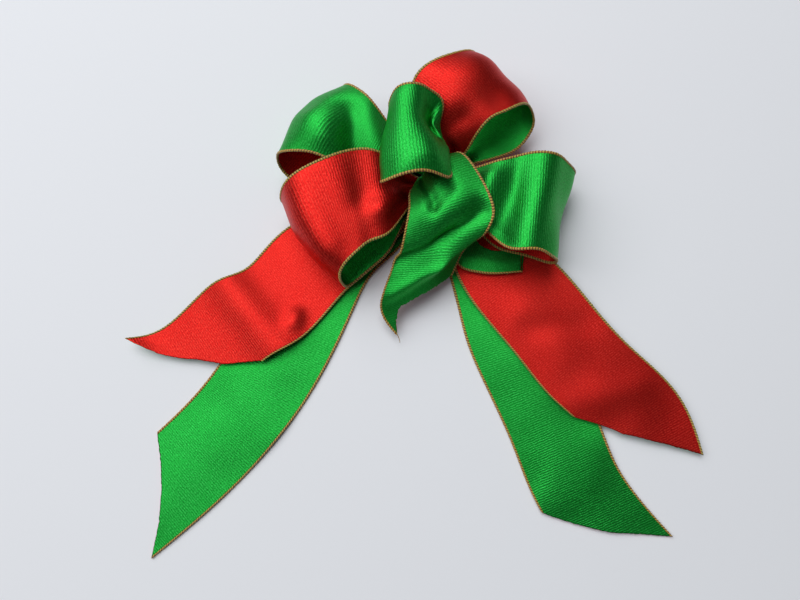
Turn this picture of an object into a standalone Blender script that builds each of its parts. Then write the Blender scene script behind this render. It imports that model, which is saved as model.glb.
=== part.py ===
"""Pre-made gift bow of reversible satin ribbon, red on one face and green on the other.

Every run of ribbon between the waist and its free end, or out and back as a loop, is a solid of its
own. A fine wire is stitched along each long edge. All runs are pinched together at the waist, which a
binding wire holds. The bow lies on its back: the origin is on the resting plane under the waist, +Z
comes out of the front of the bow, +Y points to its top and +X to its right.
"""

import math

import bmesh
import bpy
from mathutils import Vector

MM = 0.001

# Driving dimensions, in millimetres
RIBBON_THICKNESS = 0.6
EDGE_DIAMETER = 0.8
EDGE_SIDES = 5
CLEARANCE = 0.3
RIBBON_COLUMNS = 2
STEPS_PER_SPAN = 2

WAIST_HEIGHT = 21.0
WAIST_RADIUS = 5.2
WAIST_GROOVE_RADIUS = 4.0
WAIST_GROOVE_BOTTOM = 10.0
WAIST_GROOVE_TOP = 14.0
WAIST_FACETS = 48
WAIST_PLEATS = 12
WAIST_PLEAT_DEPTH = 0.35

BINDING_WIRE_DIAMETER = 0.9
BINDING_WIRE_TURNS = 2.25
BINDING_WIRE_PITCH = 1.3
BINDING_WIRE_STEPS_PER_TURN = 20

GREEN = (0.02, 0.33, 0.07, 1.0)
RED = (0.50, 0.015, 0.012, 1.0)
STITCH_GOLD = (0.45, 0.27, 0.10, 1.0)
WIRE_GREY = (0.45, 0.45, 0.46, 1.0)

# Each run of ribbon is a list of places along it, from the waist outwards. A place is the pair of
# points, in millimetres, where the ribbon's two stitched edges pass it: left edge, then right edge.
LOOPS = {
    "loop_upper_left": [
        ((-7, 6, 15), (-9, 0, 14)),
        ((-15, 14, 20), (-20, -3, 18)),
        ((-22, 22, 25), (-33, -1, 23)),
        ((-28, 29, 28), (-44, 4, 26)),
        ((-32, 33, 27), (-53, 7, 27)),
        ((-37, 37, 23), (-63, 8, 23)),
        ((-39, 38, 16), (-66, 8, 16)),
        ((-37, 36, 9), (-65, 5, 9)),
        ((-27, 26, 4), (-54, -2, 4)),
        ((-16, 15, 4), (-34, -8, 4)),
        ((-8, 5, 6), (-9, -1, 6)),
    ],
    "loop_lower_left": [
        ((-8, -1, 18), (-8, -7, 17)),
        ((-17, 4, 22), (-15, -17, 19)),
        ((-25, 7, 28), (-21, -26, 24)),
        ((-33, 7, 31), (-27, -29, 26)),
        ((-44, 3, 32), (-32, -33, 27)),
        ((-55, -2, 29), (-37, -38, 25)),
        ((-61, -6, 24), (-39, -42, 20)),
        ((-64, -8, 16), (-38, -44, 13)),
        ((-61, -8, 9), (-36, -43, 8)),
        ((-48, -3, 7), (-28, -36, 7)),
        ((-32, 1, 7), (-20, -28, 7)),
        ((-19, 2, 7), (-15, -18, 8)),
        ((-9, -1, 8), (-8, -7, 8)),
    ],
    "loop_upper_right": [
        ((2, 10, 17), (8, 7, 16)),
        ((-7, 22, 24), (12, 11, 21)),
        ((-11, 33, 31), (15, 15, 26)),
        ((-5, 41, 34), (20, 20, 30)),
        ((5, 46, 33), (26, 23, 31)),
        ((13, 50, 29), (33, 27, 29)),
        ((17, 52, 21), (38, 29, 22)),
        ((18, 52, 14), (41, 26, 15)),
        ((14, 46, 9), (39, 21, 11)),
        ((8, 36, 8), (33, 15, 9)),
        ((5, 24, 8), (22, 11, 9)),
        ((3, 11, 8), (9, 7, 8)),
    ],
    "loop_right": [
        ((9, 2, 17), (9, -4, 17)),
        ((16, 3, 21), (14, -16, 19)),
        ((24, 4, 26), (22, -28, 23)),
        ((33, 6, 29), (30, -33, 26)),
        ((42, 6, 28), (38, -33, 26)),
        ((50, 5, 24), (45, -35, 22)),
        ((57, 3, 16), (49, -35, 14)),
        ((54, 3, 9), (46, -34, 8)),
        ((40, 4, 7), (35, -30, 7)),
        ((24, 4, 7), (21, -24, 7)),
        ((10, 1, 7), (9, -5, 7)),
    ],
    "loop_centre": [
        ((1, 10, 22), (3, 6, 22)),
        ((4, 18, 29), (5, 4, 28)),
        ((3.5, 24, 35), (4, -3, 34)),
        ((-3, 27, 39), (2, -7, 38)),
        ((-11, 27.5, 41.5), (-6, -7, 41)),
        ((-16.5, 27, 40.5), (-15, -8, 41)),
        ((-20, 24, 36), (-23.5, -9, 36.5)),
        ((-18, 19, 32), (-20, -6, 32)),
        ((-9, 13, 28), (-9, 1, 29)),
        ((-4, 9, 22), (-2, 5, 22)),
    ],
}

TAILS = {
    "front_tail": [
        ((-4, -2, 22), (1, 3, 22)),
        ((-8, -7, 24), (8, 2.5, 25)),
        ((-12, -14, 26), (14, -2, 29)),
        ((-13, -22, 26), (19, -12, 30)),
        ((-15, -31, 22), (20, -22, 28)),
        ((-18, -38, 17), (12, -28, 17)),
        ((-23, -47, 11), (7, -35, 9)),
        ((-18, -62, 4), (2, -41, 6)),
    ],
    "inner_tail": [
        ((9, -4, 4), (6, -8, 4)),
        ((13, -17, 4), (7, -30, 4)),
        ((20, -27, 4.5), (15, -37, 5)),
        ((29, -28.5, 4.5), (24, -38, 5)),
        ((37, -29.5, 4.5), (37, -37, 5)),
    ],
    "tail_left_red": [
        ((-8, -1, 2.4), (-5, -7, 2.4)),
        ((-24, -5, 2.4), (-16, -20, 2.4)),
        ((-46, -9, 2.4), (-29, -35, 2.4)),
        ((-67, -20, 2.6), (-41, -47, 2.6)),
        ((-81, -36, 3.5), (-57, -65, 3)),
        ((-98, -45, 4), (-67, -71, 3.5)),
        ((-113, -60, 3.5), (-70, -73, 3.5)),
        ((-129, -66, 2.6), (-73, -75, 3.5)),
    ],
    "tail_left_green": [
        ((-8, -4, 0.6), (-4, -8, 0.6)),
        ((-26, -14, 0.4), (-15, -24, 0.4)),
        ((-54, -22, 0.4), (-28, -37, 0.4)),
        ((-71, -41, 0.4), (-38, -57, 0.4)),
        ((-89, -73, 0.4), (-56, -92, 0.4)),
        ((-110, -99, 0.4), (-84, -126, 0.4)),
        ((-116, -107, 0.4), (-115, -152, 0.4)),
    ],
    "tail_right_red": [
        ((2, -8, 2.4), (7, -4, 2.4)),
        ((5, -26, 2.4), (24, -13, 2.4)),
        ((14, -48, 2.4), (45, -28, 2.4)),
        ((32, -71, 2.4), (61, -46, 2.4)),
        ((47, -90, 2.4), (78, -67, 2.4)),
        ((54, -97, 2.4), (93, -83, 2.4)),
        ((58, -100, 2.4), (103, -98, 2.4)),
        ((61, -102, 2.4), (106, -112, 2.4)),
    ],
    "tail_right_green": [
        ((2, -9, 0.6), (7, -7, 0.6)),
        ((3, -25, 0.4), (20, -16, 0.4)),
        ((9, -51, 0.4), (42, -40, 0.4)),
        ((15, -73, 0.4), (51, -61, 0.4)),
        ((29, -105, 0.4), (64, -90, 0.4)),
        ((36, -124, 0.4), (72, -117, 0.4)),
        ((40, -135, 0.4), (93, -145, 0.4)),
    ],
}

# The point, in millimetres, that each run turns about where it leaves the waist
TURNING_POINTS = {
    "loop_upper_left": (0, 0, 0),
    "loop_lower_left": (0, 0, 12),
    "loop_upper_right": (0, 0, 0),
    "loop_right": (0, 0, 0),
    "loop_centre": (0, 8, 22),
    "front_tail": (0, 0, 22),
    "inner_tail": (0, 0, 0),
    "tail_left_red": (0, 0, 0),
    "tail_left_green": (0, 0, 0),
    "tail_right_red": (0, 0, 0),
    "tail_right_green": (0, 0, 0),
}

# Runs whose outside, or top, is the red face of the ribbon
RED_OUTSIDE = ("loop_lower_left", "loop_upper_right", "tail_left_red", "tail_right_red")


def clear_scene():
    for thing in list(bpy.data.objects):
        bpy.data.objects.remove(thing)


def make_material(name, colour, roughness, metallic):
    material = bpy.data.materials.new(name)
    material.use_nodes = True
    shader = material.node_tree.nodes["Principled BSDF"]
    shader.inputs["Base Color"].default_value = colour
    shader.inputs["Roughness"].default_value = roughness
    shader.inputs["Metallic"].default_value = metallic
    return material


def smooth_curve(points, steps):
    """Catmull-Rom curve through points, with `steps` straight bits to each span."""
    ends = [2 * points[0] - points[1]] + points + [2 * points[-1] - points[-2]]
    curve = []
    for before, start, end, after in zip(ends, ends[1:], ends[2:], ends[3:]):
        for step in range(steps):
            t = step / steps
            curve.append(
                0.5
                * (
                    2 * start
                    + (end - before) * t
                    + (2 * before - 5 * start + 4 * end - after) * t**2
                    + (3 * start - 3 * end + after - before) * t**3
                )
            )
    curve.append(points[-1])
    return curve


def edge_curves(places):
    """The ribbon's left and right edges as two smooth curves, in metres."""
    lefts = smooth_curve([Vector(left) * MM for left, right in places], STEPS_PER_SPAN)
    rights = smooth_curve([Vector(right) * MM for left, right in places], STEPS_PER_SPAN)
    return lefts, rights


def section_frames(lefts, rights):
    """For each place along the ribbon: the unit vector across it and the one out of its face."""
    frames = []
    last = len(lefts) - 1
    for i, (left, right) in enumerate(zip(lefts, rights)):
        before, after = max(i - 1, 0), min(i + 1, last)
        along = (lefts[after] + rights[after] - lefts[before] - rights[before]).normalized()
        across = (right - left).normalized()
        frames.append((across, across.cross(along).normalized()))
    return frames


def make_object(name, rings, material, origin):
    """One closed solid skinned over a row of equal rings of points, with flat caps."""
    work = bmesh.new()
    loops = [[work.verts.new(point - origin) for point in ring] for ring in rings]
    count = len(rings[0])
    for here, there in zip(loops, loops[1:]):
        for i in range(count):
            j = (i + 1) % count
            work.faces.new((here[i], here[j], there[j], there[i]))
    work.faces.new(list(reversed(loops[0])))
    work.faces.new(loops[-1])
    bmesh.ops.triangulate(work, faces=work.faces[:])
    bmesh.ops.recalc_face_normals(work, faces=work.faces[:])
    mesh = bpy.data.meshes.new(name)
    work.to_mesh(mesh)
    work.free()
    mesh.materials.append(material)
    thing = bpy.data.objects.new(name, mesh)
    thing.location = origin
    bpy.context.scene.collection.objects.link(thing)
    return thing


def make_ribbon(name, places, material, origin):
    """A flat strip as wide as its two edges are apart, bent along both of them."""
    lefts, rights = edge_curves(places)
    half = RIBBON_THICKNESS * MM / 2
    rings = []
    for left, right, (_, out) in zip(lefts, rights, section_frames(lefts, rights)):
        row = [left.lerp(right, i / RIBBON_COLUMNS) for i in range(RIBBON_COLUMNS + 1)]
        front = [point + out * half for point in row]
        back = [point - out * half for point in reversed(row)]
        rings.append(front + back)
    return make_object(name, rings, material, origin)


def make_edge_wires(name, places, material, origin):
    """The two wired, stitched edges: round cords that run just outside the strip's sides."""
    lefts, rights = edge_curves(places)
    radius = EDGE_DIAMETER * MM / 2
    offset = CLEARANCE * MM + radius
    frames = section_frames(lefts, rights)
    for side, curve, sign in (("left", lefts, -1), ("right", rights, 1)):
        rings = []
        for point, (across, out) in zip(curve, frames):
            centre = point + across * sign * offset
            ring = []
            for i in range(EDGE_SIDES):
                angle = math.tau * i / EDGE_SIDES
                ring.append(centre + radius * (across * math.cos(angle) + out * math.sin(angle)))
            rings.append(ring)
        make_object(f"edge_{name}_{side}", rings, material, origin)


def make_waist(material):
    """The pinched middle of all the runs: a pleated post with a groove and a flat back."""
    profile = [
        (0, WAIST_RADIUS),
        (WAIST_GROOVE_BOTTOM - 1, WAIST_RADIUS),
        (WAIST_GROOVE_BOTTOM, WAIST_GROOVE_RADIUS),
        (WAIST_GROOVE_TOP, WAIST_GROOVE_RADIUS),
        (WAIST_GROOVE_TOP + 1, WAIST_RADIUS),
        (WAIST_HEIGHT, WAIST_RADIUS),
    ]
    rings = []
    for height, radius in profile:
        ring = []
        for i in range(WAIST_FACETS):
            angle = math.tau * i / WAIST_FACETS
            pleat = radius - WAIST_PLEAT_DEPTH * (1 - math.cos(WAIST_PLEATS * angle)) / 2
            ring.append(Vector((pleat * math.cos(angle), pleat * math.sin(angle), height)) * MM)
        rings.append(ring)
    return make_object("waist_gather", rings, material, Vector((0, 0, 0)))


def make_binding_wire(material):
    """Soft wire wound round the waist's groove."""
    radius = BINDING_WIRE_DIAMETER / 2
    winding_radius = WAIST_GROOVE_RADIUS + CLEARANCE + radius
    rise = BINDING_WIRE_TURNS * BINDING_WIRE_PITCH
    base = (WAIST_GROOVE_BOTTOM + WAIST_GROOVE_TOP - rise) / 2
    steps = round(BINDING_WIRE_TURNS * BINDING_WIRE_STEPS_PER_TURN)
    rings = []
    for step in range(steps + 1):
        share = step / steps
        turn = math.tau * BINDING_WIRE_TURNS * share
        outward = Vector((math.cos(turn), math.sin(turn), 0))
        centre = outward * winding_radius + Vector((0, 0, base + rise * share))
        ring = []
        for i in range(EDGE_SIDES + 1):
            angle = math.tau * i / (EDGE_SIDES + 1)
            offset = outward * math.cos(angle) + Vector((0, 0, math.sin(angle)))
            ring.append((centre + offset * radius) * MM)
        rings.append(ring)
    return make_object("binding_wire", rings, material, Vector((0, 0, 0)))


def build():
    clear_scene()
    green = make_material("satin_green", GREEN, 0.42, 0.0)
    red = make_material("satin_red", RED, 0.42, 0.0)
    stitch = make_material("edge_stitching", STITCH_GOLD, 0.55, 0.0)
    wire = make_material("binding_wire", WIRE_GREY, 0.4, 1.0)
    for name, places in {**LOOPS, **TAILS}.items():
        origin = Vector(TURNING_POINTS[name]) * MM
        make_ribbon(name, places, red if name in RED_OUTSIDE else green, origin)
        make_edge_wires(name, places, stitch, origin)
    make_waist(green)
    make_binding_wire(wire)


build()
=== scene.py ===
"""Looks of the hand-tied gift bow: reversible satin ribbon with wired, overcast edges."""
import math

import bmesh
import bpy
import numpy as np
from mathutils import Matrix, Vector


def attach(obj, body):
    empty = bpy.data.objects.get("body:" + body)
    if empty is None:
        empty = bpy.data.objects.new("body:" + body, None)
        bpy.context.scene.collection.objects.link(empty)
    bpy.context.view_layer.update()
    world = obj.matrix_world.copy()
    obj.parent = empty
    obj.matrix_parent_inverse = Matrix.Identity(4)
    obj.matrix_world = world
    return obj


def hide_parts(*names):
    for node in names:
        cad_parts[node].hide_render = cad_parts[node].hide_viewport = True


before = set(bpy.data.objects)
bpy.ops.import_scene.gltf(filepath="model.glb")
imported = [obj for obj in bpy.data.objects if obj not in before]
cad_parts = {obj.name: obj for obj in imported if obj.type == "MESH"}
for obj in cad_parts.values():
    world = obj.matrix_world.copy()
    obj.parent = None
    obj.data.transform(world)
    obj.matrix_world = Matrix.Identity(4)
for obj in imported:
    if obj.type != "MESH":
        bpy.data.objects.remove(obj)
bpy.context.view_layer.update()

MM = 0.001

TINY = 1e-9

# Ribbon, in millimetres
RIBBON_WIDTH = 38.0
RIBBON_THICKNESS = 0.34
ROW_LENGTH = 0.75
COLUMNS = 56
STEPS_PER_PLACE = 40
SMOOTHING_LENGTH = 2.6

# Where a run starts inside the waist: how far from its middle, and its width there as a share
ROOT_RADIUS = 3.4
ROOT_SPREAD = 0.5

# Levels that cloth keeps between, in millimetres, so that each layer of tail lies on the one below
LOWEST = 0.3
OPEN_LEVELS = (LOWEST, 60.0)
GREEN_TAIL_LEVELS = (LOWEST, 1.7)
RED_TAIL_LEVELS = (2.2, 9.0)
LEVEL_SOFTNESS = 0.4

# Pleats where the ribbon is drawn in to the waist: full below one width, none above the other. Their
# height is a share of what would take up all of the slack, less on cloth that faces up than on cloth
# that faces down, out of sight. FACING says how level cloth is taken as facing down or up.
PLEAT_WAVES = 2.5
PLEAT_SHARE = 0.56
PLEAT_SHARE_UNDER = 0.95
SLACK_POWER = 1.6
PLEATED_WIDTH = 9.0
OPEN_WIDTH = 25.0
FACING = (-0.3, 0.4)

# Crown across a loop, as a share of the arc that its slack would make
CROWN_SHARE = 0.42

# Cloth folded under itself in layers: how round its folds are, and how far the layers bulge
LAYER_ROUNDING = 0.97
LAYER_BULGE = 0.4

# Slow waves in the cloth, in millimetres: how long, and how high; and how far they turn, in radians
WAVE_LENGTHS = (31.0, 19.0, 12.5)
WAVE_HEIGHTS = (0.26, 0.15, 0.06)
WAVE_TURN = 0.9

# Cut ends, in millimetres
CUT_SEED = 5
CUT_UNEVENNESS = 0.10

# Overcast edge, in millimetres. Its unevenness: rise as a share, rate per millimetre, phase
EDGE_HALF_WIDTH = 0.58
EDGE_HALF_DEPTH = 0.44
EDGE_ROW_LENGTH = 0.23
EDGE_SIDES = 8
EDGE_END_SHARE = 0.4
EDGE_UNEVENNESS = ((0.07, 2.3, 0.0), (0.05, 5.1, 1.0))
STITCH_PITCH = 1.15
STITCH_RELIEF = 0.15
STITCH_SLANT = 0.35

# Loose end of an edge past the cut: rows, thickness, and how far it runs aside and curls down
LOOSE_ROWS = 9
LOOSE_THICKNESS = 0.38
LOOSE_ASIDE = 0.35
LOOSE_CURL = 0.45

# Gathered waist under the binding wire, in millimetres and radians
WAIST_BOTTOM = 0.5
WAIST_TIE = 12.0
WAIST_TOP = 22.0
WAIST_ROWS = 40
WAIST_RADIUS = 5.3
WAIST_INSET = 1.2
WAIST_FLARE = 1.3
WAIST_PINCH = 1.2
WAIST_PINCH_LENGTH = 2.2
WAIST_PLEATS = 11
WAIST_SIDES = WAIST_PLEATS * 10
WAIST_FLUTE = 1.1
WAIST_LEAN = 0.10
WAIST_LEAN_RATE = 0.45
WAIST_FLUTE_SHIFT = 0.5
WAIST_FLUTE_SHIFTS_ROUND = 3
WAIST_DOME_LENGTH = 3.0
WAIST_DOME_SHARE = 0.75

# Camera: nearly overhead, a little towards the tails
CAMERA_TARGET = Vector((-0.0159, -0.0486, 0.0))
CAMERA_DISTANCE = 0.28
CAMERA_ELEVATION = math.radians(80)
CAMERA_LENS = 29.5
CAMERA_NEAREST = 0.01
SENSOR_WIDTH = 36.0

# Light: a large soft source high on the left, beyond the loops, a weak one above, dim surroundings
LIGHT_TARGET = (0, -0.03, 0)
KEY_PLACE = (-0.85, 0.55, 1.45)
KEY_SIZE = (2.4, 1.9)
KEY_POWER = 33.0
OVERHEAD_PLACE = (-0.15, 0.45, 1.2)
OVERHEAD_SIZE = (0.9, 0.7)
OVERHEAD_POWER = 4.5
WORLD_COLOUR = (0.90, 0.94, 1.0, 1.0)
WORLD_STRENGTH = 0.09

# Floor, just below the lowest cloth
FLOOR_HALF = 2.5
FLOOR_DROP = 0.0002
FLOOR_COLOUR = (0.80, 0.82, 0.86, 1.0)
FLOOR_ROUGHNESS = 0.9
FLOOR_SPECULAR = 0.2

# Satin weave: pitches in metres, noise scales per metre, and shares of relief and of tone; in the colour
# the weave paints shade in its gaps and highlight on its threads, and the flecks paint glints
RIB_PITCH = 0.0009
THREAD_PITCH = 0.00045
WANDER_SCALE = 420.0
RIB_WANDER = 5.0
THREAD_WANDER = 7.0
FLECK_SCALE = 2300.0
FLECK_STRETCH = 0.5
CLOUD_SCALE = 55.0
RIB_RELIEF = 0.45
THREAD_RELIEF = 0.22
CROSSING_RELIEF = 0.40
FLECK_RELIEF = 1.2
WEAVE_PAINTED_LIGHT = 0.17
CLOUD_TONE = 0.16
TONE_STOPS = (0.34, 0.60, 0.86)
SATIN_BUMP = (0.45, 0.00012)
SATIN_METALLIC = 0.88
SATIN_ROUGHNESS = 0.40
FLECK_ROUGHNESS = 0.12
SATIN_SPECULAR = 0.25
SATIN_ANISOTROPY = 0.5
SATIN_ANISOTROPY_TURN = 0.25

# Satin colours: painted shade in the gaps of the weave, the thread's own colour, and a painted highlight
# where a thread catches the light
SATIN_DYE_AND_PAINTED_LIGHT_COLOURS = {
    "green": ((0.007, 0.25, 0.026, 1), (0.014, 0.37, 0.045, 1), (0.04, 0.52, 0.09, 1)),
    "red": ((0.44, 0.009, 0.008, 1), (0.61, 0.018, 0.013, 1), (0.78, 0.06, 0.04, 1)),
}
OTHER = {"green": "red", "red": "green"}

# Overcast thread: gold, with a darker colour between its turns, which the satin's face decides
GOLD = (0.64, 0.44, 0.07, 1.0)
SECOND = {"green": (0.17, 0.018, 0.006, 1.0), "red": (0.085, 0.075, 0.010, 1.0)}
THREAD_SHADE_COLOUR = (0.06, 0.02, 0.008, 1.0)
THREAD_SHADE = 0.55
STITCH_TURN = 0.70
STITCH_WANDER_SCALE = 700.0
STITCH_WANDER = 0.35
STITCH_STOPS = ((0.0, 0), (0.26, 0), (0.44, 1), (0.82, 1), (1.0, 0))
STRAND_SCALE = 3200.0
STRAND_RELIEF = 0.5
STITCH_BUMP = (0.5, 0.0001)
STITCH_ROUGHNESS = 0.55
STITCH_SHEEN = 0.15

# Bare wire
WIRE_SCRATCH_SCALE = 3000.0
WIRE_STOPS = [(0.3, (0.32, 0.32, 0.33, 1)), (0.7, (0.55, 0.55, 0.56, 1))]
WIRE_ROUGHNESS = 0.25

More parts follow.
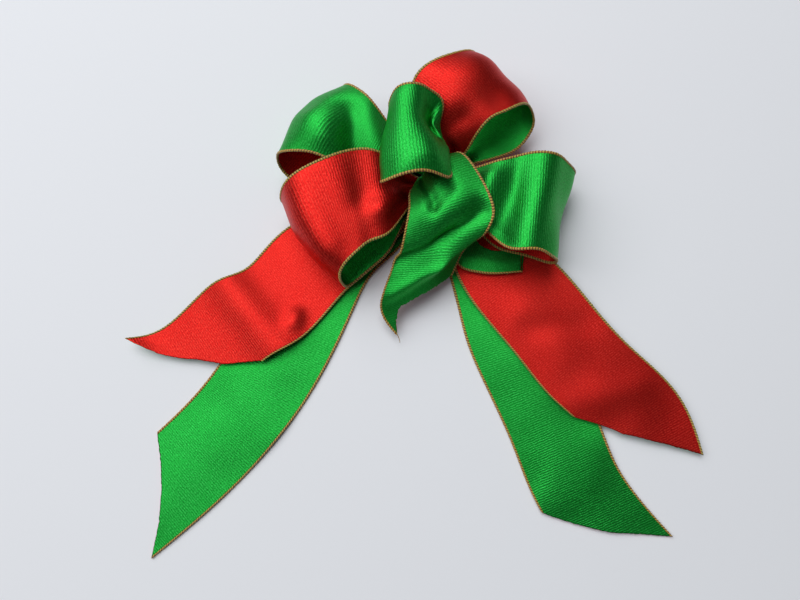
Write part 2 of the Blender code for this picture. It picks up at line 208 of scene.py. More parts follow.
# Each run of ribbon, from the waist outwards. A place along it is the pair of points, in millimetres,
# where its two edges pass: left edge, then right edge. `front` is the colour of the face that
# across x along points out of, across being from left edge to right edge. `outer` is the colour that
# shows: the outside of a loop, the top of a tail.
# `folds` are soft ridges (positive, outwards) and valleys (negative): height, then the place number and
# the share of the width where each starts and ends, then its half-width, in millimetres.
# `cut` says that a run ends in a cut, and how far along its length that comes, as shares at even steps
# from its left edge to its right; a run without one is a loop, and comes back to the waist.
# `serration` roughens the cut, and `loose` is how far the left and right edges' threads run past it.
# `crown` and `waves` scale the arch across the run and the slow waves in it, `levels` is the lowest and
# highest that it may lie, and `layers` folds its width to and fro, that deep in millimetres.
RUNS = {
    "loop_upper_left": dict(
        front="red", outer="green",
        places=[
            ((-7, 6, 15), (-9, 0, 14)),
            ((-15, 14, 20), (-20, -3, 18)),
            ((-22, 22, 25), (-33, -1, 23)),
            ((-28, 29, 28), (-44, 4, 26)),
            ((-32, 33, 27), (-53, 7, 27)),
            ((-37, 37, 23), (-63, 8, 23)),
            ((-39, 38, 16), (-66, 8, 16)),
            ((-37, 36, 9), (-65, 5, 9)),
            ((-27, 26, 4), (-54, -2, 4)),
            ((-16, 15, 4), (-34, -8, 4)),
            ((-8, 5, 6), (-9, -1, 6)),
        ],
        folds=[
            (7.0, (5.4, 0.42), (5.6, 0.55), 14.0),
            (-5.0, (3.5, 0.32), (2.4, 0.72), 6.5),
            (1.5, (4.6, 0.62), (3.9, 0.80), 6.0),
        ],
    ),
    "loop_lower_left": dict(
        crown=0.12,
        front="green", outer="red",
        places=[
            ((-8, -1, 18), (-8, -7, 17)),
            ((-17, 4, 22), (-15, -17, 19)),
            ((-25, 7, 28), (-21, -26, 24)),
            ((-33, 7, 31), (-27, -29, 26)),
            ((-44, 3, 32), (-32, -33, 27)),
            ((-55, -2, 29), (-37, -38, 25)),
            ((-61, -6, 24), (-39, -42, 20)),
            ((-64, -8, 16), (-38, -44, 13)),
            ((-61, -8, 9), (-36, -43, 8)),
            ((-48, -3, 7), (-28, -36, 7)),
            ((-32, 1, 7), (-20, -28, 7)),
            ((-19, 2, 7), (-15, -18, 8)),
            ((-9, -1, 8), (-8, -7, 8)),
        ],
        folds=[
            (5.0, (6.9, 0.42), (6.9, 0.60), 13.0),
            (3.5, (5.4, 0.10), (5.6, 0.75), 7.5),
            (-2.0, (3.0, 0.00), (3.1, 0.50), 6.0),
            (3.0, (1.7, 0.60), (2.2, 0.68), 5.0),
        ],
    ),
    "loop_upper_right": dict(
        crown=0.36,
        front="red", outer="red",
        places=[
            ((2, 10, 17), (8, 7, 16)),
            ((-7, 22, 24), (12, 11, 21)),
            ((-11, 33, 31), (15, 15, 26)),
            ((-5, 41, 34), (20, 20, 30)),
            ((5, 46, 33), (26, 23, 31)),
            ((13, 50, 29), (33, 27, 29)),
            ((17, 52, 21), (38, 29, 22)),
            ((18, 52, 14), (41, 26, 15)),
            ((14, 46, 9), (39, 21, 11)),
            ((8, 36, 8), (33, 15, 9)),
            ((5, 24, 8), (22, 11, 9)),
            ((3, 11, 8), (9, 7, 8)),
        ],
        folds=[
            (-1.8, (6.2, 0.45), (3.9, 0.78), 8.5),
            (1.0, (4.2, 0.22), (2.7, 0.50), 8.0),
            (-1.2, (2.2, 0.75), (1.2, 0.55), 4.5),
        ],
    ),
    "loop_right": dict(
        crown=0.15,
        front="green", outer="green",
        places=[
            ((9, 2, 17), (9, -4, 17)),
            ((16, 3, 21), (14, -16, 19)),
            ((24, 4, 26), (22, -28, 23)),
            ((33, 6, 29), (30, -33, 26)),
            ((42, 6, 28), (38, -33, 26)),
            ((50, 5, 24), (45, -35, 22)),
            ((57, 3, 16), (49, -35, 14)),
            ((54, 3, 9), (46, -34, 8)),
            ((40, 4, 7), (35, -30, 7)),
            ((24, 4, 7), (21, -24, 7)),
            ((10, 1, 7), (9, -5, 7)),
        ],
        folds=[
            (2.4, (4.3, 0.00), (3.4, 0.92), 7.0),
            (-3.6, (2.9, 0.00), (2.2, 0.85), 6.5),
            (2.0, (1.8, 0.20), (1.5, 0.75), 4.5),
            (-2.2, (5.9, 0.52), (6.1, 0.62), 9.0),
        ],
    ),
    "loop_centre": dict(
        crown=0.0,
        front="red", outer="green",
        places=[
            ((1, 9, 22), (2, 4, 22)),
            ((0, 17, 29), (3, 1, 28)),
            ((2, 24, 35), (4, -4, 33)),
            ((-3, 27, 39), (2, -7.5, 37)),
            ((-11, 27.5, 41.5), (-6, -6.5, 41)),
            ((-16.5, 27, 40.5), (-15, -8, 41)),
            ((-20, 24, 36), (-23.5, -9, 36.5)),
            ((-18, 19, 32), (-20, -6, 32)),
            ((-9, 13, 28), (-9, 0, 28.5)),
            ((-4, 9, 22), (-2, 5, 22)),
        ],
        folds=[
            (-7.0, (2.5, 0.25), (2.9, 0.34), 7.5),
            (3.4, (3.9, 0.05), (3.8, 0.80), 6.5),
            (1.6, (5.0, 0.10), (5.0, 0.90), 4.5),
            (1.5, (6.1, 0.55), (6.3, 0.70), 7.0),
        ],
    ),
    "front_tail": dict(
        front="red", outer="green",
        places=[
            ((-4, -2, 22), (1, 3, 22)),
            ((-11, -7, 24), (7, 8, 25)),
            ((-12, -14, 26), (14, -1, 29)),
            ((-13, -22, 26), (19, -12, 30)),
            ((-15, -31, 22), (20, -22, 28)),
            ((-18, -38, 17), (12, -28, 17)),
            ((-23, -47, 11), (7, -36, 9)),
            ((-23, -56, 7), (4, -44, 4)),
            ((-17, -64, 4), (6, -52, 3)),
        ],
        cut=(1.0, 0.865, 0.84, 0.825, 0.81),
        serration=0.45,
        loose=(3.0, 0.0),
        folds=[
            (-1.8, (1.3, 0.26), (2.7, 0.34), 3.0),
            (-1.2, (2.7, 0.34), (2.2, 0.60), 3.0),
            (-3.2, (3.5, 0.85), (4.2, 0.52), 4.6),
            (-3.2, (4.2, 0.52), (4.8, 0.08), 4.6),
            (2.4, (4.4, 1.0), (5.3, 0.60), 4.5),
            (2.4, (5.3, 0.60), (6.1, 0.10), 4.5),
        ],
    ),
    "inner_tail": dict(
        front="green", outer="green",
        places=[
            ((9, -4, 5), (6, -8, 5)),
            ((13, -17, 5.2), (7, -30, 5)),
            ((20, -27, 5.4), (15, -37, 5)),
            ((29, -28.5, 5.4), (24, -38, 5)),
            ((37, -29.5, 5.2), (37, -37, 5)),
        ],
        cut=(1.0, 0.98, 0.96, 0.95, 0.98),
        layers=1.6,
        waves=0.0,
        folds=[
            (0.9, (1.4, 0.86), (3.9, 0.88), 2.6),
        ],
    ),
    "tail_left_red": dict(
        crown=0.0,
        levels=RED_TAIL_LEVELS,
        waves=0.25,
        front="green", outer="red",
        places=[
            ((-8, -1, 2.4), (-5, -7, 2.4)),
            ((-24, -5, 2.4), (-16, -20, 2.4)),
            ((-46, -9, 2.4), (-29, -35, 2.4)),
            ((-67, -20, 2.6), (-41, -47, 2.6)),
            ((-81, -36, 3.5), (-57, -65, 3)),
            ((-96, -44, 4), (-73, -75, 3.5)),
            ((-113, -60, 3.5), (-91, -91, 3)),
            ((-129, -66, 2.6), (-107, -97, 3)),
        ],
        cut=(1.0, 0.945, 0.865, 0.805, 0.71),
        folds=[
            (3.2, (4.62, 0.00), (4.50, 0.95), 9.0),
            (2.2, (3.86, 0.78), (3.93, 0.82), 3.7),
            (5.5, (7.3, -0.05), (7.2, 0.10), 9.0),
        ],
    ),
    "tail_left_green": dict(
        crown=0.0,
        levels=GREEN_TAIL_LEVELS,
        waves=0.45,
        front="red", outer="green",
        places=[
            ((-8, -4, 0.6), (-4, -8, 0.6)),
            ((-26, -14, 0.4), (-15, -24, 0.4)),
            ((-54, -22, 0.4), (-28, -37, 0.4)),
            ((-71, -41, 0.4), (-38, -57, 0.4)),
            ((-89, -73, 0.4), (-56, -92, 0.4)),
            ((-110, -99, 0.4), (-84, -126, 0.4)),
            ((-140, -126, 0.4), (-115, -153, 0.4)),
        ],
        cut=(0.83, 0.86, 0.895, 0.94, 1.0),
        folds=[
            (1.3, (2.6, 0.50), (5.7, 0.55), 11.0),
            (1.2, (4.1, 0.15), (4.4, 0.90), 8.0),
            (1.6, (5.9, 0.45), (6.3, 0.85), 6.0),
        ],
    ),
    "tail_right_red": dict(
        crown=0.0,
        levels=RED_TAIL_LEVELS,
        waves=0.3,
        front="green", outer="red",
        places=[
            ((2, -8, 2.4), (7, -4, 2.4)),
            ((5, -26, 2.4), (24, -13, 2.4)),
            ((14, -48, 2.4), (45, -28, 2.4)),
            ((32, -71, 2.4), (61, -46, 2.4)),
            ((47, -90, 2.4), (78, -67, 2.4)),
            ((65, -107, 2.4), (98, -88, 2.4)),
            ((76, -127, 2.4), (107, -113, 2.0)),
        ],
        cut=(0.74, 0.855, 0.912, 0.958, 1.0),
        folds=[
            (1.2, (2.6, 0.42), (5.8, 0.45), 11.0),
            (-0.5, (2.9, 0.30), (3.4, 0.80), 5.0),
            (0.8, (4.3, 0.10), (4.6, 0.70), 8.0),
        ],
    ),
    "tail_right_green": dict(
        crown=0.0,
        levels=GREEN_TAIL_LEVELS,
        waves=0.45,
        front="red", outer="green",
        places=[
            ((2, -9, 0.6), (7, -7, 0.6)),
            ((3, -25, 0.4), (20, -16, 0.4)),
            ((9, -51, 0.4), (42, -40, 0.4)),
            ((15, -73, 0.4), (51, -61, 0.4)),
            ((29, -105, 0.4), (63, -91, 0.4)),
            ((40, -133, 0.4), (73, -119, 0.4)),
            ((58, -160, 0.4), (93, -145, 0.4)),
        ],
        cut=(0.825, 0.88, 0.93, 0.963, 1.0),
        folds=[
            (1.2, (2.4, 0.50), (5.9, 0.50), 11.0),
            (1.4, (5.0, 0.10), (4.6, 0.90), 8.0),
        ],
    ),
}


def natural_spline(points, at):
    """Smooth curve with continuous curvature through points, read at place numbers `at`."""
    points = np.asarray(points, float)
    count = len(points)
    system = np.zeros((count, count))
    right = np.zeros_like(points)
    system[0, 0] = system[-1, -1] = 1.0
    for i in range(1, count - 1):
        system[i, i - 1:i + 2] = (1.0, 4.0, 1.0)
        right[i] = 6.0 * (points[i + 1] - 2.0 * points[i] + points[i - 1])
    bend = np.linalg.solve(system, right)
    i = np.clip(np.floor(at).astype(int), 0, count - 2)
    t = (at - i)[:, None]
    before, after = points[i], points[i + 1]
    return (
        before * (1 - t)
        + after * t
        + ((1 - t) ** 3 - (1 - t)) * bend[i] / 6.0
        + (t**3 - t) * bend[i + 1] / 6.0
    )


def unit(vectors):
    return vectors / np.maximum(np.linalg.norm(vectors, axis=-1, keepdims=True), TINY)


def smoothed(values, rows):
    """Running average along the first axis over about that many rows, with the ends kept."""
    width = max(int(rows), 1)
    weights = np.hanning(2 * width + 3)[1:-1]
    weights /= weights.sum()
    pad = len(weights) // 2
    start = 2 * values[:1] - values[1:pad + 1][::-1]
    end = 2 * values[-1:] - values[-pad - 1:-1][::-1]
    longer = np.concatenate([start, values, end])
    result = np.zeros_like(values)
    for i, weight in enumerate(weights):
        result += weight * longer[i:i + len(values)]
    return result


def pleat_height(chord):
    """About the height of a sine wave that folds the ribbon's width into the chord."""
    slack = np.clip(RIBBON_WIDTH / np.maximum(chord, 1.0), 1.0, None)
    steepness = 2.0 * np.sqrt(np.clip(slack**SLACK_POWER - 1.0, 0.0, None))
    return steepness * chord / (2.0 * math.pi * PLEAT_WAVES)


def arc_rise(chord):
    """Rise of a shallow arc, as long as the ribbon is wide, over its chord."""
    slack = np.clip(RIBBON_WIDTH - chord, 0.0, None)
    return np.sqrt(3.0 * chord * slack / 8.0)


def smooth_step(values, start, end):
    t = np.clip((values - start) / (end - start), 0.0, 1.0)
    return t * t * (3.0 - 2.0 * t)


def rooted(places, both_ends):
    """The places with one more inside the waist at the first end, and at the last where asked."""

    def root(place):
        middle = np.mean(place, axis=0)
        reach = math.hypot(middle[0], middle[1])
        inside = middle * (ROOT_RADIUS / reach, ROOT_RADIUS / reach, 1.0)
        return [inside + (np.array(point) - middle) * ROOT_SPREAD for point in place]

    return [root(places[0])] + list(places) + ([root(places[-1])] if both_ends else [])


def slow_waves(along, share, seed):
    """Gentle waves in the cloth, of a few lengths and directions."""
    draw = np.random.default_rng(seed)
    x = along[:, None]
    y = share[None, :] * RIBBON_WIDTH
    height = 0.0
    for length, rise in zip(WAVE_LENGTHS, WAVE_HEIGHTS):
        turn = draw.uniform(-WAVE_TURN, WAVE_TURN)
        phase = draw.uniform(0.0, 2.0 * math.pi)
        height = height + rise * np.sin(
            2.0 * math.pi * (x * math.cos(turn) + y * math.sin(turn)) / length + phase
        )
    return height


def fold_height(fold, station, along, share):
    """A soft ridge or valley along the line from a fold's start to its end."""
    rise, start, end, half_width = fold
    x = along[:, None]
    y = share[None, :] * RIBBON_WIDTH
    ax, bx = np.interp([start[0], end[0]], np.arange(len(station)), station)
    ax += max(start[0] - len(station) + 1, 0.0) * (station[-1] - station[-2])
    bx += max(end[0] - len(station) + 1, 0.0) * (station[-1] - station[-2])
    ay, by = start[1] * RIBBON_WIDTH, end[1] * RIBBON_WIDTH
    length2 = (bx - ax) ** 2 + (by - ay) ** 2 + TINY
    t = np.clip(((x - ax) * (bx - ax) + (y - ay) * (by - ay)) / length2, 0.0, 1.0)
    distance2 = (x - ax - t * (bx - ax)) ** 2 + (y - ay - t * (by - ay)) ** 2
    return rise * np.exp(-distance2 / half_width**2)


def layered(left, right, out, share, drop):
    """A cross-section as wide as the ribbon, folded to and fro under its chord like a fan."""
    chord = np.linalg.norm(right - left, axis=1)[:, None]
    inwards = unit(left - right)
    walked = (1.0 - share[None, :]) * RIBBON_WIDTH
    turns = np.arccos(LAYER_ROUNDING * np.cos(math.pi * walked / chord)) / math.pi
    flat = np.arccos(LAYER_ROUNDING) / math.pi
    offset = chord * (turns - flat) / (1.0 - 2.0 * flat)
    bulge = LAYER_BULGE * np.sin(math.pi * offset / chord) * (walked > chord)
    under = drop * walked / RIBBON_WIDTH + bulge
    return right[:, None] + inwards[:, None] * offset[:, :, None] - out[:, None] * under[:, :, None]


def distances(line):
    """How far along a line of points each of them is."""
    return np.concatenate([[0], np.cumsum(np.linalg.norm(np.diff(line, axis=0), axis=1))])


def read_at(at, travelled, values):
    """Values, three to a point of a line, read at other distances along it."""
    return np.stack([np.interp(at, travelled, values[:, k]) for k in range(3)], 1)


def kept_between(levels, low, high):
    """Levels held softly between the lowest and the highest."""
    levels = low + LEVEL_SOFTNESS * np.logaddexp(0.0, (levels - low) / LEVEL_SOFTNESS)
    return high - LEVEL_SOFTNESS * np.logaddexp(0.0, (high - levels) / LEVEL_SOFTNESS)


def run_grid(run, seed):
    """Points of a run's middle surface, rows along it by columns across, and how far along each is."""
    looped = "cut" not in run
    places = rooted(run["places"], looped)
    fine = np.linspace(0, len(places) - 1, STEPS_PER_PLACE * (len(places) - 1) + 1)
    left = natural_spline([place[0] for place in places], fine)
    right = natural_spline([place[1] for place in places], fine)
    travelled = distances((left + right) / 2)
    rows = int(travelled[-1] / ROW_LENGTH) + 1
    along = np.linspace(0, travelled[-1], rows)
    left = read_at(along, travelled, left)
    right = read_at(along, travelled, right)
    left = smoothed(left, SMOOTHING_LENGTH / ROW_LENGTH)
    right = smoothed(right, SMOOTHING_LENGTH / ROW_LENGTH)
    station = np.interp(np.arange(1, len(run["places"]) + 1), fine, travelled)

    chord = np.linalg.norm(right - left, axis=1)
    forward = unit(np.gradient((left + right) / 2, axis=0))
    out = unit(np.cross(unit(right - left), forward))
    if run["front"] != run["outer"]:
        out = -out
    share = np.linspace(0, 1, COLUMNS + 1)
    if "layers" in run:
        grid = layered(left, right, out, share, run["layers"])
    else:
        grid = left[:, None] + (right - left)[:, None] * share[None, :, None]

    drawn_in = 1.0 - smooth_step(chord, PLEATED_WIDTH, OPEN_WIDTH)
    upward = smooth_step(out[:, 2], *FACING)
    height = np.zeros((rows, COLUMNS + 1))
    if "layers" not in run:
        pleat = (PLEAT_SHARE_UNDER + (PLEAT_SHARE - PLEAT_SHARE_UNDER) * upward) * drawn_in
        pleat *= pleat_height(chord)
        wave = np.sin(2 * math.pi * PLEAT_WAVES * share) * np.sin(math.pi * share) ** 0.5
        height += pleat[:, None] * wave[None, :]
        crown = run.get("crown", CROWN_SHARE) * upward * (1.0 - drawn_in) * arc_rise(chord)
        height += crown[:, None] * np.sin(math.pi * share)[None, :]
    height += run.get("waves", 1.0) * slow_waves(along, share, seed) * (1.0 - drawn_in)[:, None]
    for fold in run["folds"]:
        height += fold_height(fold, station, along, share)
    height = smoothed(height, SMOOTHING_LENGTH / ROW_LENGTH)
    grid = grid + out[:, None] * height[:, :, None]
    grid[:, :, 2] = kept_between(grid[:, :, 2], *run.get("levels", OPEN_LEVELS))
    return grid, along, share


def cut_grid(grid, along, share, cut, serration):
    """Ends each column of the grid where the slanting, slightly uneven cut crosses it."""
    ends = np.interp(share, np.linspace(0, 1, len(cut)), cut) * along[-1]
    draw = np.random.default_rng(CUT_SEED)
    ends += draw.normal(0, CUT_UNEVENNESS, len(share)) + serration * draw.uniform(-1, 1, len(share))
    ends = np.clip(ends, 0, along[-1])
    rows = len(along)
    result = np.zeros_like(grid)
    distance = np.zeros((rows, len(share)))
    for column, end in enumerate(ends):
        distance[:, column] = np.linspace(0, end, rows)
        result[:, column] = read_at(distance[:, column], along, grid[:, column])
    return result, distance


def grid_normals(grid):
    return unit(np.cross(np.gradient(grid, axis=1), np.gradient(grid, axis=0)))


def set_uv(mesh, values):
    """The cloth layer: metres along the ribbon and across it, from one value per vertex."""
    layer = mesh.uv_layers.new(name="cloth")
    vertex = np.empty(len(mesh.loops), np.int32)
    mesh.loops.foreach_get("vertex_index", vertex)
    layer.data.foreach_set("uv", values[vertex].astype(np.float32).ravel())
    mesh.shade_smooth()
    mesh.validate()
    mesh.update()


def link(name, mesh):
    thing = bpy.data.objects.new(name, mesh)
    bpy.context.scene.collection.objects.link(thing)
    return thing


def ribbon_object(name, grid, distance, share, front, back):
    """A thin closed strip: the front face, the back face and the rim between them."""
    rows, columns = grid.shape[:2]
    normals = grid_normals(grid)
    half = RIBBON_THICKNESS / 2
    points = np.stack([grid + normals * half, grid - normals * half]).reshape(-1, 3)
    cells = rows * columns
    index = np.arange(cells).reshape(rows, columns)
    a, b = index[:-1, :-1].ravel(), index[:-1, 1:].ravel()
    c, d = index[1:, 1:].ravel(), index[1:, :-1].ravel()
    faces = [np.stack([a, b, c, d], 1), np.stack([d, c, b, a], 1) + cells]
    rim = np.concatenate([index[0, :], index[1:, -1], index[-1, -2::-1], index[-2:0:-1, 0]])
    following = np.roll(rim, -1)
    faces.append(np.stack([following, rim, rim + cells, following + cells], 1))
    slots = np.concatenate([np.zeros(len(faces[0])), np.ones(len(faces[1])), np.zeros(len(faces[2]))])
    faces = np.concatenate(faces)
    mesh = bpy.data.meshes.new(name)
    mesh.from_pydata((points * MM).tolist(), [], faces.tolist())
    mesh.materials.append(front)
    mesh.materials.append(back)
    mesh.polygons.foreach_set("material_index", slots.astype(np.int32))
    u = (distance * MM).ravel()
    v = np.broadcast_to(share * RIBBON_WIDTH * MM, (rows, columns)).ravel()
    set_uv(mesh, np.stack([np.tile(u, 2), np.tile(v, 2)], 1))
    return link(name, mesh)


def tube(name, points, rows, sides, material, uv):
    """A closed tube through rows of points, with its ends capped."""
    index = np.arange(rows * sides).reshape(rows, sides)
    following = np.roll(index, -1, axis=1)
    corners = [index[:-1], following[:-1], following[1:], index[1:]]
    faces = np.stack([corner.ravel() for corner in corners], 1).tolist()
    faces.append(index[0, ::-1].tolist())
    faces.append(index[-1].tolist())
    mesh = bpy.data.meshes.new(name)
    mesh.from_pydata((points.reshape(-1, 3) * MM).tolist(), [], faces)
    mesh.materials.append(material)
    set_uv(mesh, uv)
    work = bmesh.new()
    work.from_mesh(mesh)
    bmesh.ops.recalc_face_normals(work, faces=work.faces[:])
    work.to_mesh(mesh)
    work.free()
    return link(name, mesh)


def loosened(line, side, out, length):
    """The edge's line run on past the cut as a loose end of thread that curls down and aside."""
    steps = np.linspace(0, 1, LOOSE_ROWS + 1)[1:, None]
    ahead = unit(line[-1] - line[-4])
    aside = LOOSE_ASIDE * steps**2 * side[-1]
    down = LOOSE_CURL * steps**2 * out[-1]
    end = line[-1] + length * (steps * ahead + aside - down)
    end[:, 2] = np.maximum(end[:, 2], LOWEST)
    line = np.concatenate([line, end])
    side = np.concatenate([side, np.repeat(side[-1:], len(end), axis=0)])
    out = np.concatenate([out, np.repeat(out[-1:], len(end), axis=0)])
    return line, side, out


def edge_object(name, line, side, out, material, loose):
    """An overcast edge: a flattened cord with a raised turn of thread at every stitch."""
    stitched = np.linalg.norm(np.diff(line, axis=0), axis=1).sum()
    if loose:
        line, side, out = loosened(line, side, out, loose)
    travelled = distances(line)
    rows = int(travelled[-1] / EDGE_ROW_LENGTH) + 2
    at = np.linspace(0, travelled[-1], rows)
    line = read_at(at, travelled, line)
    side = unit(read_at(at, travelled, side))
    out = unit(read_at(at, travelled, out))
    angle = np.arange(EDGE_SIDES) * 2 * math.pi / EDGE_SIDES
    turn = at[:, None] / STITCH_PITCH + STITCH_SLANT * np.sin(angle)[None, :]
    evenness = 1.0 + sum(rise * np.sin(at * rate + phase) for rise, rate, phase in EDGE_UNEVENNESS)
    turns = 1.0 - STITCH_RELIEF + 2 * STITCH_RELIEF * np.abs(np.sin(math.pi * turn))
    swell = evenness[:, None] * turns
    swell *= np.where(at > stitched, LOOSE_THICKNESS, 1.0)[:, None]
    swell[[0, -1]] *= EDGE_END_SHARE
    points = (
        line[:, None]
        + side[:, None] * (np.cos(angle)[None, :] * swell * EDGE_HALF_WIDTH)[:, :, None]
        + out[:, None] * (np.sin(angle)[None, :] * swell * EDGE_HALF_DEPTH)[:, :, None]
    )
    uv = np.stack([np.repeat(at * MM, EDGE_SIDES), np.tile(np.sin(angle) * 0.5 + 0.5, rows)], 1)
    return tube(name, points, rows, EDGE_SIDES, material, uv)


def waist_object(name, material):
    """The ribbon's gathered waist: a fluted barrel, flared at both ends and pinched where it is tied."""
    level = np.linspace(WAIST_BOTTOM, WAIST_TOP, WAIST_ROWS)
    angle = np.linspace(0, 2 * math.pi, WAIST_SIDES, endpoint=False)
    away = (level - WAIST_TIE) / (WAIST_TOP - WAIST_TIE)
    pinch = WAIST_PINCH * np.exp(-(((level - WAIST_TIE) / WAIST_PINCH_LENGTH) ** 2))
    radius = WAIST_RADIUS - pinch + WAIST_FLARE * np.minimum(away**2, 1.0) - WAIST_INSET
    lean = angle[None, :] + WAIST_LEAN * np.sin(level * WAIST_LEAN_RATE)[:, None]
    shift = WAIST_FLUTE_SHIFT * np.sin(WAIST_FLUTE_SHIFTS_ROUND * angle)
    flute = np.abs(np.sin(WAIST_PLEATS * lean / 2 + shift[None, :]))
    dome = np.clip((level - WAIST_TOP + WAIST_DOME_LENGTH) / WAIST_DOME_LENGTH, 0, 1) ** 2
    reach = (radius[:, None] + WAIST_FLUTE * flute) * (1.0 - WAIST_DOME_SHARE * dome)[:, None]
    height = np.broadcast_to(level[:, None], reach.shape)
    points = np.stack([reach * np.cos(angle), reach * np.sin(angle), height], 2)
    u = np.repeat(level * MM, WAIST_SIDES)
    v = np.tile(angle * WAIST_RADIUS * MM, WAIST_ROWS)
    return tube(name, points, WAIST_ROWS, WAIST_SIDES, material, np.stack([u, v], 1))


class Nodes:
    """Short calls for building a material's nodes."""

    def __init__(self, name):
        self.material = bpy.data.materials.new(name)
        self.material.use_nodes = True
        self.tree = self.material.node_tree
        self.shader = self.tree.nodes["Principled BSDF"]

    def add(self, kind, **settings):
        node = self.tree.nodes.new(kind)
        for key, value in settings.items():
            setattr(node, key, value)
        return node

    def link(self, source, target):
        self.tree.links.new(source, target)

    def put(self, value, socket):
        if isinstance(value, (int, float)):
            socket.default_value = value
        else:
            self.link(value, socket)

    def math(self, operation, a, b=0.0, c=0.0):
        node = self.add("ShaderNodeMath", operation=operation)
        for value, socket in zip((a, b, c), node.inputs):
            self.put(value, socket)
        return node.outputs[0]

    def noise(self, vector, scale, detail=3.0, roughness=0.5):
        node = self.add("ShaderNodeTexNoise")
        self.link(vector, node.inputs["Vector"])
        node.inputs["Scale"].default_value = scale
        node.inputs["Detail"].default_value = detail
        node.inputs["Roughness"].default_value = roughness
        return node.outputs["Fac"]

    def ramp(self, factor, stops):
        node = self.add("ShaderNodeValToRGB")
        self.link(factor, node.inputs["Fac"])
        elements = node.color_ramp.elements
        for element, (position, colour) in zip(elements, (stops[0], stops[-1])):
            element.position = position
            element.color = colour
        for position, colour in stops[1:-1]:
            elements.new(position).color = colour
        return node.outputs["Color"]

    def mix(self, factor, a, b):
        node = self.add("ShaderNodeMix", data_type="RGBA")
        self.put(factor, node.inputs["Factor"])
        for value, socket in ((a, node.inputs["A"]), (b, node.inputs["B"])):
            sockets = [s for s in node.inputs if s.name == socket.name and s.type == "RGBA"]
            if isinstance(value, tuple):
                sockets[0].default_value = value
            else:
                self.link(value, sockets[0])
        return [s for s in node.outputs if s.type == "RGBA"][0]

    def combine(self, x, y):
        node = self.add("ShaderNodeCombineXYZ")
        for value, socket in zip((x, y), node.inputs):
            self.put(value, socket)
        return node.outputs[0]

    def cloth_coordinates(self):
        """Distance along the ribbon and across it, in metres."""
        uv = self.add("ShaderNodeUVMap", uv_map="cloth")
        apart = self.add("ShaderNodeSeparateXYZ")
        self.link(uv.outputs["UV"], apart.inputs[0])
        return apart.outputs["X"], apart.outputs["Y"]

    def bump(self, height, strength, distance):
        node = self.add("ShaderNodeBump")
        node.inputs["Strength"].default_value = strength
        node.inputs["Distance"].default_value = distance
        self.link(height, node.inputs["Height"])
        self.shade("Normal", node.outputs["Normal"])

    def shade(self, name, value):
        """Sets or links one of the shader's own sockets."""
        if isinstance(value, (int, float, tuple)):
            self.shader.inputs[name].default_value = value
        else:
            self.link(value, self.shader.inputs[name])


def satin(name, dye_and_painted_light):
    """Ribbed satin: fine ribs across the ribbon, threads along it, and uneven sparkle, with painted
    shade in the weave's gaps and painted glints in its colour.
    """
    nodes = Nodes(name)
    along, across = nodes.cloth_coordinates()
    place = nodes.combine(along, across)
    wander = nodes.noise(place, WANDER_SCALE, 2.0)
    rib, thread = (
        nodes.math(
            "SINE",
            nodes.math("MULTIPLY_ADD", way, 2 * math.pi / pitch, nodes.math("MULTIPLY", wander, stray)),
        )
        for way, pitch, stray in ((along, RIB_PITCH, RIB_WANDER), (across, THREAD_PITCH, THREAD_WANDER))
    )
    fleck_place = nodes.combine(along, nodes.math("MULTIPLY", across, FLECK_STRETCH))
    fleck = nodes.noise(fleck_place, FLECK_SCALE, 1.5, 0.6)
    cloudy = nodes.noise(place, CLOUD_SCALE, 3.0)
    weave = nodes.math("MULTIPLY_ADD", rib, RIB_RELIEF, nodes.math("MULTIPLY", thread, THREAD_RELIEF))
    crossing = nodes.math("MULTIPLY", rib, thread)
    weave = nodes.math("MULTIPLY_ADD", crossing, CROSSING_RELIEF, weave)
    # Colour tone: the weave paints shade in its gaps and highlight on its threads, the flecks paint
    # glints, and the clouds vary the tone at random
    tone_with_painted_light = nodes.math("MULTIPLY_ADD", weave, WEAVE_PAINTED_LIGHT, fleck)
    tone_with_painted_light = nodes.math("MULTIPLY_ADD", cloudy, CLOUD_TONE, tone_with_painted_light)
    tangent = nodes.add("ShaderNodeTangent", direction_type="UV_MAP", uv_map="cloth")
    nodes.bump(nodes.math("MULTIPLY_ADD", fleck, FLECK_RELIEF, weave), *SATIN_BUMP)
    # Base colour runs from painted shade through the thread's own colour to painted highlight
    nodes.shade("Base Color", nodes.ramp(tone_with_painted_light, list(zip(TONE_STOPS, dye_and_painted_light))))
    nodes.shade("Roughness", nodes.math("MULTIPLY_ADD", fleck, FLECK_ROUGHNESS, SATIN_ROUGHNESS))
    nodes.shade("Tangent", tangent.outputs["Tangent"])
    nodes.shade("Metallic", SATIN_METALLIC)
    nodes.shade("Specular IOR Level", SATIN_SPECULAR)
    nodes.shade("Anisotropic", SATIN_ANISOTROPY)
    nodes.shade("Anisotropic Rotation", SATIN_ANISOTROPY_TURN)
    return nodes.material


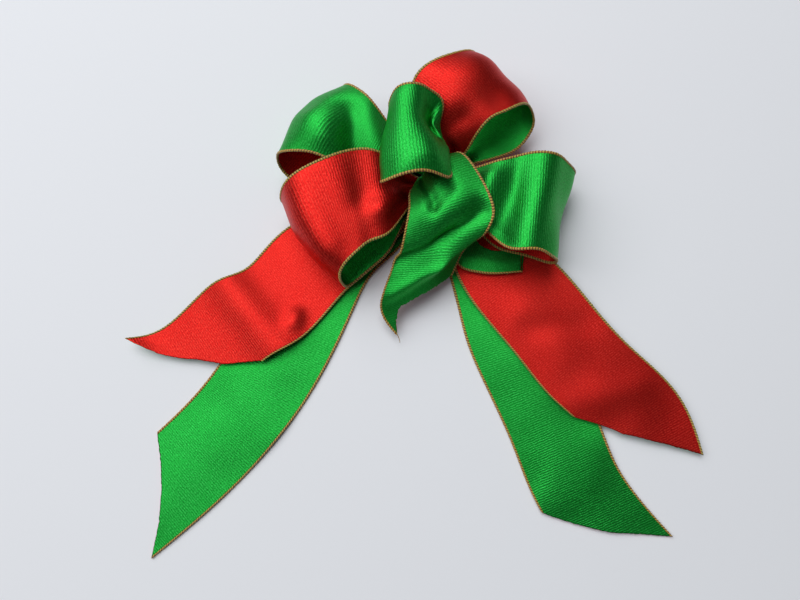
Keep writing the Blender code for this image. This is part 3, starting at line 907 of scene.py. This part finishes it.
def stitching(name, second_front, second_back):
    """Overcast thread: gold turns, with the darker colour of the covered ribbon edge between them."""
    nodes = Nodes(name)
    along, round_it = nodes.cloth_coordinates()
    slant = nodes.math("MULTIPLY", round_it, STITCH_TURN)
    turn = nodes.math("MULTIPLY_ADD", along, 1.0 / (STITCH_PITCH * MM), slant)
    place = nodes.combine(along, nodes.math("MULTIPLY", round_it, MM))
    wander = nodes.noise(place, STITCH_WANDER_SCALE, 2.0)
    step = nodes.math("FRACT", nodes.math("MULTIPLY_ADD", wander, STITCH_WANDER, turn))
    front = nodes.math("GREATER_THAN", round_it, 0.5)
    second = nodes.mix(front, second_back, second_front)
    which = nodes.ramp(step, [(position, (grey, grey, grey, 1)) for position, grey in STITCH_STOPS])
    strand = nodes.noise(place, STRAND_SCALE, 2.0)
    shade = nodes.math("MULTIPLY", strand, THREAD_SHADE)
    nodes.bump(nodes.math("MULTIPLY_ADD", strand, STRAND_RELIEF, which), *STITCH_BUMP)
    nodes.shade("Base Color", nodes.mix(shade, nodes.mix(which, second, GOLD), THREAD_SHADE_COLOUR))
    nodes.shade("Roughness", STITCH_ROUGHNESS)
    nodes.shade("Sheen Weight", STITCH_SHEEN)
    return nodes.material


def bare_wire(name):
    """Dull wire with fine scratches."""
    nodes = Nodes(name)
    position = nodes.add("ShaderNodeTexCoord").outputs["Object"]
    scratch = nodes.noise(position, WIRE_SCRATCH_SCALE, 3.0)
    scratched = nodes.math("MULTIPLY", scratch, WIRE_ROUGHNESS)
    nodes.shade("Base Color", nodes.ramp(scratch, WIRE_STOPS))
    nodes.shade("Roughness", nodes.math("ADD", scratched, WIRE_ROUGHNESS))
    nodes.shade("Metallic", 1.0)
    return nodes.material


def make_camera():
    """The camera at the photograph's viewing angle."""
    back = Vector((0, -math.cos(CAMERA_ELEVATION), math.sin(CAMERA_ELEVATION)))
    data = bpy.data.cameras.new("camera")
    data.lens = CAMERA_LENS
    data.sensor_width = SENSOR_WIDTH
    data.clip_start = CAMERA_NEAREST
    camera = bpy.data.objects.new("camera", data)
    camera.location = CAMERA_TARGET + back * CAMERA_DISTANCE
    camera.rotation_mode = "QUATERNION"
    camera.rotation_quaternion = (-back).to_track_quat("-Z", "Y")
    bpy.context.scene.collection.objects.link(camera)
    bpy.context.scene.camera = camera


def make_light(name, location, size, power):
    data = bpy.data.lights.new(name, "AREA")
    data.shape = "RECTANGLE"
    data.size, data.size_y = size
    data.energy = power
    light = bpy.data.objects.new(name, data)
    light.location = location
    light.rotation_mode = "QUATERNION"
    light.rotation_quaternion = (Vector(LIGHT_TARGET) - Vector(location)).to_track_quat("-Z", "Y")
    bpy.context.scene.collection.objects.link(light)


def make_studio():
    """Soft light, dim surroundings and a pale floor."""
    bpy.context.scene.view_settings.view_transform = "Standard"
    world = bpy.data.worlds.new("studio")
    world.use_nodes = True
    background = world.node_tree.nodes["Background"]
    background.inputs["Color"].default_value = WORLD_COLOUR
    background.inputs["Strength"].default_value = WORLD_STRENGTH
    bpy.context.scene.world = world
    make_light("key", KEY_PLACE, KEY_SIZE, KEY_POWER)
    make_light("overhead", OVERHEAD_PLACE, OVERHEAD_SIZE, OVERHEAD_POWER)

    floor = bpy.data.meshes.new("floor")
    corners = [(x * FLOOR_HALF, y * FLOOR_HALF, 0) for x, y in ((-1, -1), (1, -1), (1, 1), (-1, 1))]
    floor.from_pydata(corners, [], [(0, 1, 2, 3)])
    nodes = Nodes("floor")
    nodes.shade("Base Color", FLOOR_COLOUR)
    nodes.shade("Roughness", FLOOR_ROUGHNESS)
    nodes.shade("Specular IOR Level", FLOOR_SPECULAR)
    floor.materials.append(nodes.material)
    thing = link("floor", floor)
    thing.location.z = -FLOOR_DROP


def build_run(name, run, seed):
    """A run's ribbon and its two stitched edges, each riding on the run's body."""
    grid, along, share = run_grid(run, seed)
    if "cut" in run:
        grid, distance = cut_grid(grid, along, share, run["cut"], run.get("serration", 0.0))
    else:
        distance = np.broadcast_to(along[:, None], grid.shape[:2])
    front = run["front"]
    ribbon = ribbon_object(f"ribbon_{name}", grid, distance, share, SATIN[front], SATIN[OTHER[front]])
    normals = grid_normals(grid)
    loose = run.get("loose", (0.0, 0.0))
    for side, column, inner, length in (("left", 0, 1, loose[0]), ("right", -1, -2, loose[1])):
        outward = unit(grid[:, column] - grid[:, inner])
        label = f"stitched_edge_{name}_{side}"
        edge = edge_object(
            label, grid[:, column], outward, normals[:, column], STITCHING[front], length
        )
        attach(edge, name)
        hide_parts(f"edge_{name}_{side}")
    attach(ribbon, name)
    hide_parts(name)


make_camera()
make_studio()
SATIN = {face: satin(f"satin_{face}", dye_and_painted_light) for face, dye_and_painted_light in SATIN_DYE_AND_PAINTED_LIGHT_COLOURS.items()}
STITCHING = {
    face: stitching(f"stitching_{face}_front", SECOND[face], SECOND[OTHER[face]])
    for face in ("green", "red")
}
WAIST = waist_object("gathered_waist", SATIN["green"])
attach(WAIST, "knot")
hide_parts("waist_gather")
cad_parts["binding_wire"].material_slots[0].material = bare_wire("soft_wire")
for seed, (name, run) in enumerate(RUNS.items()):
    build_run(name, run, seed + 1)
